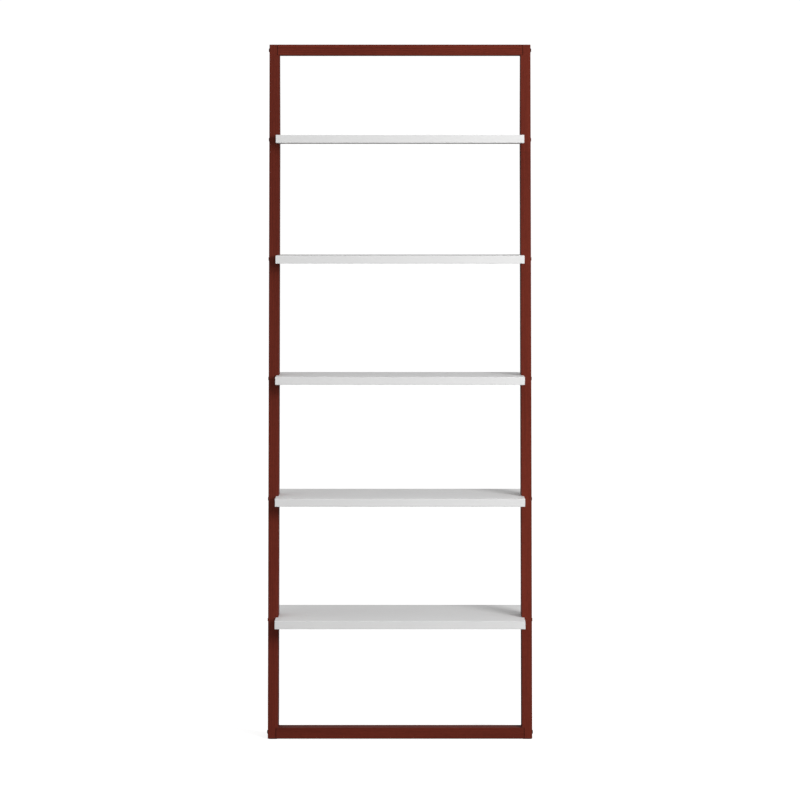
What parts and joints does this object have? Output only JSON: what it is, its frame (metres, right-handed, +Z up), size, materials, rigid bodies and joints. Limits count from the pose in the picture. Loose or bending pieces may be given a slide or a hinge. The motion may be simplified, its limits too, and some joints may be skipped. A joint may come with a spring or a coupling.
{
  "type": "ladder shelf",
  "caption": "Open wall-leaning ladder shelf: a rectangular wooden frame of two uprights and two rails carries level boards that grow deeper towards the floor.",
  "frame": {"origin": "on the floor, under the middle of the bounding box", "axes": "+Z up; +Y towards the wall that the shelf leans on, so its front faces -Y; +X to the right as seen from the front"},
  "size_m": [0.9348, 0.3946, 2.438],
  "materials": {
    "frame_wood": "satin red-brown stain",
    "shelf_lacquer": "satin white lacquer",
    "bolt_steel": "dark bronze oxide",
    "insert_brass": "machined",
    "pad_rubber": "matt",
    "hanger_steel": "zinc plated"
  },
  "bodies": {
    "root": {"bottom_rail": "frame_wood", "left_bolt_bottom_rail": "bolt_steel", "left_bolt_shelf_1": "bolt_steel", "left_bolt_shelf_2": "bolt_steel", "left_bolt_shelf_3": "bolt_steel", "left_bolt_shelf_4": "bolt_steel", "left_bolt_shelf_5": "bolt_steel", "left_bolt_top_rail": "bolt_steel", "left_foot_pad": "pad_rubber", "left_hanger_plate": "hanger_steel", "left_hanger_screw_inner": "hanger_steel", "left_hanger_screw_outer": "hanger_steel", "left_insert_bottom_rail": "insert_brass", "left_insert_shelf_1": "insert_brass", "left_insert_shelf_2": "insert_brass", "left_insert_shelf_3": "insert_brass", "left_insert_shelf_4": "insert_brass", "left_insert_shelf_5": "insert_brass", "left_insert_top_rail": "insert_brass", "left_upright": "frame_wood", "right_bolt_bottom_rail": "bolt_steel", "right_bolt_shelf_1": "bolt_steel", "right_bolt_shelf_2": "bolt_steel", "right_bolt_shelf_3": "bolt_steel", "right_bolt_shelf_4": "bolt_steel", "right_bolt_shelf_5": "bolt_steel", "right_bolt_top_rail": "bolt_steel", "right_foot_pad": "pad_rubber", "right_hanger_plate": "hanger_steel", "right_hanger_screw_inner": "hanger_steel", "right_hanger_screw_outer": "hanger_steel", "right_insert_bottom_rail": "insert_brass", "right_insert_shelf_1": "insert_brass", "right_insert_shelf_2": "insert_brass", "right_insert_shelf_3": "insert_brass", "right_insert_shelf_4": "insert_brass", "right_insert_shelf_5": "insert_brass", "right_insert_top_rail": "insert_brass", "right_upright": "frame_wood", "shelf_1": "shelf_lacquer", "shelf_2": "shelf_lacquer", "shelf_3": "shelf_lacquer", "shelf_4": "shelf_lacquer", "shelf_5": "shelf_lacquer", "top_rail": "frame_wood"}
  },
  "joints": []
}
